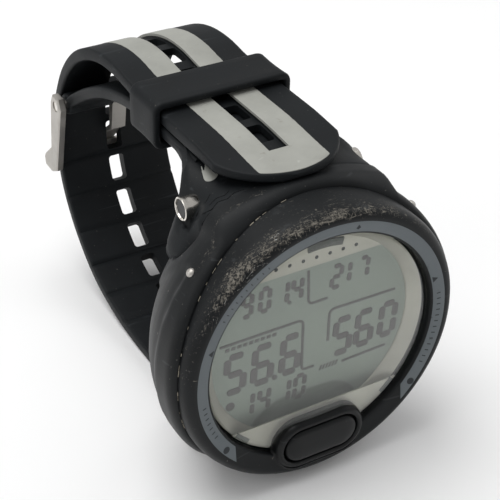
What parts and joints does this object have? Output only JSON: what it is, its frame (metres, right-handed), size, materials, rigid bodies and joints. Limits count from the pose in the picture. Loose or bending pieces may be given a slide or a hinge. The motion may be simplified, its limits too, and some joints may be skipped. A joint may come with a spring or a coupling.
{
  "type": "wrist dive computer",
  "caption": "Round wrist dive computer with a raised bezel, domed display, one push button and a buckled pin-and-hole strap.",
  "frame": {"origin": "middle of the footprint, on the plane the strap and the case rest on", "axes": "+X to the display's 3 o'clock, +Z to its 12 o'clock, display facing -Y, wrist side +Y"},
  "size_m": [0.065, 0.1014, 0.0705],
  "materials": {
    "black_plastic": "fine matt texture, rubbed smooth on the edges",
    "grey_print": "matt grey ring let into the bezel",
    "lens_clear": "polished clear",
    "silver_mask": "satin champagne silver",
    "lcd_stack": "grey green reflective display",
    "white_plastic": "moulded",
    "circuit_green": "solder mask",
    "black_rubber": "satin moulded elastomer",
    "grey_rubber": "matt inlay",
    "steel": "satin stainless",
    "brass": "plain"
  },
  "bodies": {
    "computer": {"case_body": "black_plastic", "bezel": "black_plastic", "case_back": "black_plastic", "processor_chip": "black_plastic", "memory_chip": "black_plastic", "mode_switch": "black_plastic", "bezel_inlay": "grey_print", "lens": "lens_clear", "display_mask": "silver_mask", "lcd_panel": "lcd_stack", "backlight": "white_plastic", "chassis": "white_plastic", "circuit_board": "circuit_green", "lens_gasket": "black_rubber", "elastomer_strip": "black_rubber", "case_back_gasket": "black_rubber", "strap_short": "black_rubber", "strap_long": "black_rubber", "strap_short_stripe_left": "grey_rubber", "strap_short_stripe_right": "grey_rubber", "strap_long_stripes": "grey_rubber", "water_contact_left": "steel", "water_contact_right": "steel", "pressure_sensor": "steel", "coin_cell": "steel", "case_back_screw_1": "steel", "case_back_screw_2": "steel", "case_back_screw_3": "steel", "case_back_screw_4": "steel", "strap_pin_top": "steel", "strap_pin_bottom": "steel", "buzzer": "brass", "contact_minus": "brass", "contact_plus": "brass"},
    "mode_button": {"button_cap": "black_rubber", "button_stem": "steel", "button_seal": "black_rubber"},
    "strap_keeper": {"keeper": "black_rubber"},
    "buckle": {"buckle_frame": "steel", "buckle_bar": "steel"},
    "tongue": {"buckle_tongue": "steel"},
    "battery_door": {"battery_cap": "black_plastic", "battery_cap_seal": "black_rubber"}
  },
  "joints": [
    {"name": "button_press", "type": "slide", "parent": "computer", "child": "mode_button", "axis": [0, 1, 0], "range_m": [0, 0.0009], "stiffness_N_per_m": 2000, "springref_m": -0.0003},
    {"name": "keeper_slide", "type": "slide", "parent": "computer", "child": "strap_keeper", "axis": [0, -1, 0], "range_m": [-0.004, 0.005]},
    {"name": "buckle_hinge", "type": "hinge", "parent": "computer", "child": "buckle", "pos_m": [0, 0.0406, 0.0472], "axis": [1, 0, 0], "range_deg": [0, 3]},
    {"name": "tongue_hinge", "type": "hinge", "parent": "computer", "child": "tongue", "pos_m": [0, 0.0406, 0.0472], "axis": [1, 0, 0], "range_deg": [0, 3]},
    {"name": "battery_cap_turn", "type": "hinge", "parent": "computer", "child": "battery_door", "pos_m": [0, -0.027, 0.0326], "axis": [0, 1, 0], "range_deg": [0, 40]}
  ],
  "couplings": [
    {"joint": "tongue_hinge", "follows": "buckle_hinge", "ratio": 1}
  ]
}
